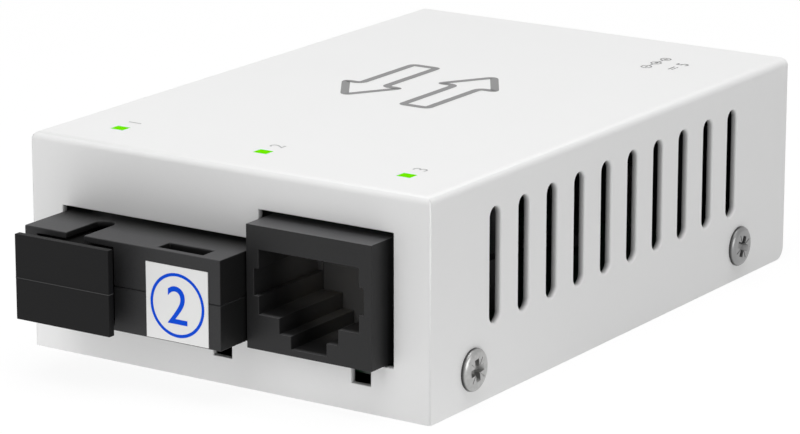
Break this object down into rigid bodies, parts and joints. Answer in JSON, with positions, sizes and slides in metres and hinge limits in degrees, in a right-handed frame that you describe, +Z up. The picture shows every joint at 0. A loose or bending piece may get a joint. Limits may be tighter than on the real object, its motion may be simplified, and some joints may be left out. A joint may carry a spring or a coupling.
{
  "type": "fibre media converter",
  "caption": "Small folded-sheet box that joins a copper network line to an optical fibre, with a network jack and a capped fibre port in front and a power inlet behind.",
  "frame": {"origin": "middle of the tray underside, on the surface that the converter stands on", "axes": "+X to the right seen from the front, +Y from the front panel to the rear panel, +Z up"},
  "size_m": [0.0522, 0.0859, 0.024],
  "materials": {
    "powder_white": "fine satin powder coat",
    "zinc_screw": "bright zinc plating",
    "brass_post": "turned brass",
    "board_laminate": "solder resist",
    "module_black": "finely textured moulding",
    "cap_black": "finely textured moulding",
    "label_paper": "printed paper",
    "jack_black": "satin moulding",
    "gold_wire": "gold flash on spring bronze",
    "tinned_pin": "tin plating",
    "steel_can": "drawn nickel-plated steel",
    "lamp_green": "lit clear green plastic",
    "lamp_body": "white moulding",
    "inlet_black": "satin moulding",
    "chip_black": "moulded epoxy and ferrite",
    "capacitor_can": "drawn aluminium"
  },
  "bodies": {
    "converter": {"base_tray": "powder_white", "board_screws": "zinc_screw", "circuit_board": "board_laminate", "clock_crystal": "steel_can", "converter_chip": "chip_black", "cover_screws": "zinc_screw", "fibre_receptacle": "steel_can", "filter_capacitor": "capacitor_can", "inlet_leaf_contact": "tinned_pin", "inlet_pin": "tinned_pin", "jack_contact_1": "gold_wire", "jack_contact_2": "gold_wire", "jack_contact_3": "gold_wire", "jack_contact_4": "gold_wire", "jack_contact_5": "gold_wire", "jack_contact_6": "gold_wire", "jack_contact_7": "gold_wire", "jack_contact_8": "gold_wire", "jack_housing": "jack_black", "jack_insert": "jack_black", "lamp_left": "lamp_body", "lamp_middle": "lamp_body", "lamp_right": "lamp_body", "light_pipe_left": "lamp_green", "light_pipe_middle": "lamp_green", "light_pipe_right": "lamp_green", "line_transformer": "chip_black", "module_board": "board_laminate", "module_label": "label_paper", "module_lower_shell": "module_black", "module_pin_1": "tinned_pin", "module_pin_2": "tinned_pin", "module_pin_3": "tinned_pin", "module_pin_4": "tinned_pin", "module_pin_5": "tinned_pin", "module_pin_6": "tinned_pin", "module_pin_7": "tinned_pin", "module_pin_8": "tinned_pin", "module_pin_9": "tinned_pin", "module_upper_shell": "module_black", "optical_block": "steel_can", "port_latch": "module_black", "power_inductor": "chip_black", "power_inlet": "inlet_black", "small_parts": "chip_black", "standoffs": "brass_post", "top_cover": "powder_white", "voltage_regulator": "chip_black"},
    "dust_cap": {"dust_cap": "cap_black"}
  },
  "joints": [
    {"name": "dust_cap_pull", "type": "slide", "parent": "converter", "child": "dust_cap", "axis": [0, -1, 0], "range_m": [0, 0.015]}
  ]
}
